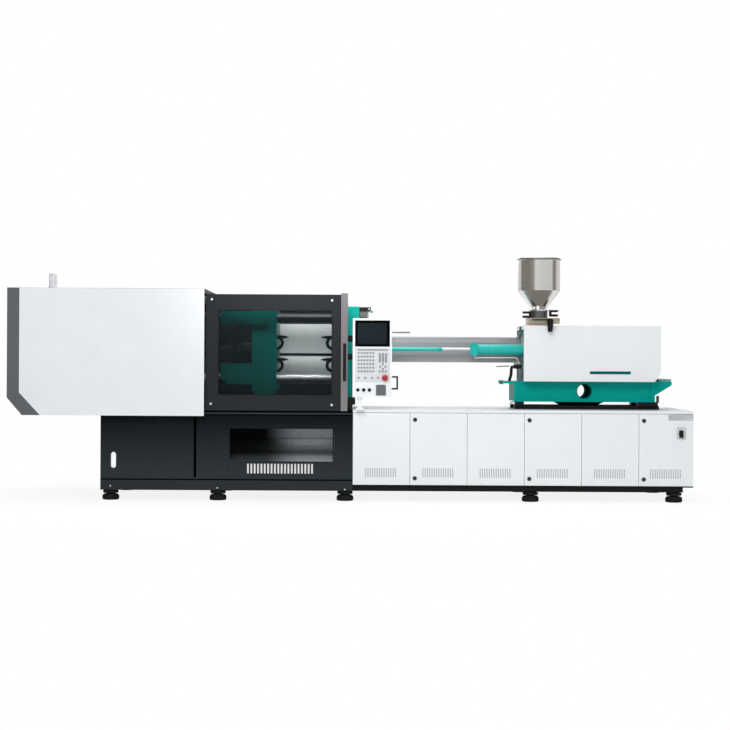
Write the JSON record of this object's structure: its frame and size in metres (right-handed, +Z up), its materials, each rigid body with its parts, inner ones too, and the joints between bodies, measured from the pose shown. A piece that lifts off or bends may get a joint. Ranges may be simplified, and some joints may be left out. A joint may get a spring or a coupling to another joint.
{
  "type": "injection moulding machine",
  "caption": "Horizontal injection moulding machine with a toggle clamp, sliding safety door, swing-out control panel, hopper and moving injection carriage.",
  "frame": {"origin": "on the floor, under the middle of the machine's box", "axes": "+X along the machine towards the injection end, -Y to the operator side, +Z up"},
  "size_m": [7.2, 1.665, 2.599],
  "materials": {
    "cover_white": "satin",
    "end_grey": "satin",
    "door_dark": "satin",
    "bed_dark": "satin",
    "teal_paint": "satin",
    "bare_steel": "satin",
    "chromed_rod": "polished",
    "link_iron": "matte",
    "window_clear": "clear",
    "strip_aluminium": "anodised",
    "black_plastic": "matte",
    "black_iron": "satin",
    "hopper_steel": "satin",
    "hood_grey": "satin",
    "screen_black": "gloss",
    "keypad_lilac": "matte",
    "stop_red": "gloss",
    "lamp_clear": "gloss",
    "guard_green": "satin",
    "guard_grey": "satin",
    "pump_grey": "satin",
    "flap_grey": "matte"
  },
  "bodies": {
    "machine_base": {"clamp_bed": "bed_dark", "bed_panels": "bed_dark", "chute_tray": "guard_grey", "injection_frame": "bed_dark", "base_rails": "black_iron", "leveling_feet": "bare_steel", "hydraulic_unit": "pump_grey", "cabinet_panels": "cover_white", "cover_sides": "cover_white", "cover_top": "cover_white", "cover_end": "end_grey", "door_rails": "bare_steel", "tail_platen": "teal_paint", "tie_bars": "bare_steel", "fixed_platen": "teal_paint", "clamp_cylinder": "pump_grey", "seat_rods": "chromed_rod", "panel_arm": "cover_white", "signal_lamp": "lamp_clear"},
    "moving_platen": {"moving_platen": "teal_paint", "ejector_cylinder": "pump_grey"},
    "ejector": {"ejector_rod": "chromed_rod"},
    "crosshead": {"crosshead": "link_iron"},
    "front_door": {"door_frame": "door_dark", "door_window": "window_clear", "door_edge": "strip_aluminium", "door_handle": "black_plastic"},
    "rear_door": {"rear_door": "guard_grey"},
    "carriage": {"carriage": "teal_paint", "carriage_base": "black_iron", "barrel": "bare_steel", "barrel_cover": "hood_grey", "seat_cylinders": "bare_steel", "injection_cover": "cover_white", "hopper": "hopper_steel", "hopper_base": "hopper_steel", "injection_housing": "teal_paint"},
    "drive_unit": {"drive_unit": "pump_grey"},
    "screw": {"screw": "chromed_rod"},
    "hopper_gate": {"hopper_gate": "black_plastic"},
    "purge_guard": {"purge_guard": "guard_green"},
    "control_panel": {"control_panel": "cover_white", "panel_screen": "screen_black", "keypad": "keypad_lilac", "panel_handle": "black_plastic"},
    "emergency_stop": {"emergency_stop": "stop_red"},
    "socket_flap": {"socket_flap": "flap_grey"},
    "main_switch": {"main_switch": "black_plastic"},
    "rear_link_upper": {"rear_link_upper": "link_iron"},
    "rear_link_lower": {"rear_link_lower": "link_iron"},
    "front_link_upper": {"front_link_upper": "link_iron"},
    "front_link_lower": {"front_link_lower": "link_iron"},
    "cross_link_upper": {"cross_link_upper": "link_iron"},
    "cross_link_lower": {"cross_link_lower": "link_iron"},
    "cabinet_door_1": {"cabinet_door_1": "cover_white"},
    "cabinet_door_2": {"cabinet_door_2": "cover_white"},
    "cabinet_door_3": {"cabinet_door_3": "cover_white"},
    "cabinet_door_4": {"cabinet_door_4": "cover_white"},
    "cabinet_door_5": {"cabinet_door_5": "cover_white"},
    "cabinet_door_6": {"cabinet_door_6": "cover_white"}
  },
  "joints": [
    {"name": "front_door_slide", "type": "slide", "parent": "machine_base", "child": "front_door", "axis": [-1, 0, 0], "range_m": [0, 1.15]},
    {"name": "rear_door_slide", "type": "slide", "parent": "machine_base", "child": "rear_door", "axis": [-1, 0, 0], "range_m": [0, 1.15]},
    {"name": "platen_slide", "type": "slide", "parent": "machine_base", "child": "moving_platen", "axis": [1, 0, 0], "range_m": [0, 0.2831]},
    {"name": "crosshead_slide", "type": "slide", "parent": "machine_base", "child": "crosshead", "axis": [1, 0, 0], "range_m": [0, 0.27]},
    {"name": "rear_link_upper_pivot", "type": "hinge", "parent": "machine_base", "child": "rear_link_upper", "pos_m": [-1.55884, 0.0325, 1.93], "axis": [0, -1, 0], "range_deg": [0, 71]},
    {"name": "front_link_upper_pivot", "type": "hinge", "parent": "moving_platen", "child": "front_link_upper", "pos_m": [-1.202, 0.0325, 1.93], "axis": [0, 1, 0], "range_deg": [0, 44]},
    {"name": "cross_link_upper_pivot", "type": "hinge", "parent": "crosshead", "child": "cross_link_upper", "pos_m": [-1.71248, 0.0325, 1.73], "axis": [0, -1, 0], "range_deg": [0, 61.5]},
    {"name": "rear_link_lower_pivot", "type": "hinge", "parent": "machine_base", "child": "rear_link_lower", "pos_m": [-1.55884, 0.0325, 1.27], "axis": [0, 1, 0], "range_deg": [0, 71]},
    {"name": "front_link_lower_pivot", "type": "hinge", "parent": "moving_platen", "child": "front_link_lower", "pos_m": [-1.202, 0.0325, 1.27], "axis": [0, -1, 0], "range_deg": [0, 44]},
    {"name": "cross_link_lower_pivot", "type": "hinge", "parent": "crosshead", "child": "cross_link_lower", "pos_m": [-1.71248, 0.0325, 1.47], "axis": [0, 1, 0], "range_deg": [0, 61.5]},
    {"name": "ejector_slide", "type": "slide", "parent": "moving_platen", "child": "ejector", "axis": [1, 0, 0], "range_m": [0, 0.12]},
    {"name": "carriage_slide", "type": "slide", "parent": "machine_base", "child": "carriage", "axis": [1, 0, 0], "range_m": [0, 0.12]},
    {"name": "injection_slide", "type": "slide", "parent": "carriage", "child": "drive_unit", "axis": [1, 0, 0], "range_m": [0, 0.25]},
    {"name": "screw_spin", "type": "hinge", "parent": "drive_unit", "child": "screw", "pos_m": [2.6, 0.0325, 1.6], "axis": [1, 0, 0], "continuous": true},
    {"name": "gate_slide", "type": "slide", "parent": "carriage", "child": "hopper_gate", "axis": [0, -1, 0], "range_m": [0, 0.14]},
    {"name": "purge_guard_hinge", "type": "hinge", "parent": "machine_base", "child": "purge_guard", "pos_m": [0.19, 0.0325, 2.03], "axis": [0, -1, 0], "range_deg": [0, 80]},
    {"name": "panel_swing", "type": "hinge", "parent": "machine_base", "child": "control_panel", "pos_m": [0.092, -0.7475, 1.1], "axis": [0, 0, -1], "range_deg": [0, 75]},
    {"name": "stop_press", "type": "slide", "parent": "control_panel", "child": "emergency_stop", "axis": [0, 1, 0], "range_m": [0, 0.006], "stiffness_N_per_m": 800},
    {"name": "flap_hinge", "type": "hinge", "parent": "control_panel", "child": "socket_flap", "pos_m": [0.3115, -0.7968, 1.22], "axis": [-1, 0, 0], "range_deg": [0, 90]},
    {"name": "cabinet_door_1_hinge", "type": "hinge", "parent": "machine_base", "child": "cabinet_door_1", "pos_m": [0.035, -0.6815, 0.5], "axis": [0, 0, -1], "range_deg": [0, 86]},
    {"name": "cabinet_door_2_hinge", "type": "hinge", "parent": "machine_base", "child": "cabinet_door_2", "pos_m": [1.209, -0.6815, 0.5], "axis": [0, 0, 1], "range_deg": [0, 86]},
    {"name": "cabinet_door_3_hinge", "type": "hinge", "parent": "machine_base", "child": "cabinet_door_3", "pos_m": [1.237, -0.6815, 0.5], "axis": [0, 0, -1], "range_deg": [0, 86]},
    {"name": "cabinet_door_4_hinge", "type": "hinge", "parent": "machine_base", "child": "cabinet_door_4", "pos_m": [2.411, -0.6815, 0.5], "axis": [0, 0, 1], "range_deg": [0, 86]},
    {"name": "cabinet_door_5_hinge", "type": "hinge", "parent": "machine_base", "child": "cabinet_door_5", "pos_m": [2.439, -0.6815, 0.5], "axis": [0, 0, -1], "range_deg": [0, 86]},
    {"name": "cabinet_door_6_hinge", "type": "hinge", "parent": "machine_base", "child": "cabinet_door_6", "pos_m": [3.586, -0.6815, 0.5], "axis": [0, 0, 1], "range_deg": [0, 86]},
    {"name": "main_switch_turn", "type": "hinge", "parent": "cabinet_door_6", "child": "main_switch", "pos_m": [3.466, -0.6975, 0.722], "axis": [0, 1, 0], "range_deg": [0, 90]}
  ],
  "couplings": [
    {"joint": "crosshead_slide", "follows": "platen_slide", "ratio": 0.94931},
    {"joint": "rear_link_upper_pivot", "follows": "platen_slide", "rad_per_m": 4.3646},
    {"joint": "front_link_upper_pivot", "follows": "platen_slide", "rad_per_m": 2.6853},
    {"joint": "cross_link_upper_pivot", "follows": "platen_slide", "rad_per_m": 3.7605},
    {"joint": "rear_link_lower_pivot", "follows": "platen_slide", "rad_per_m": 4.3646},
    {"joint": "front_link_lower_pivot", "follows": "platen_slide", "rad_per_m": 2.6853},
    {"joint": "cross_link_lower_pivot", "follows": "platen_slide", "rad_per_m": 3.7605}
  ]
}
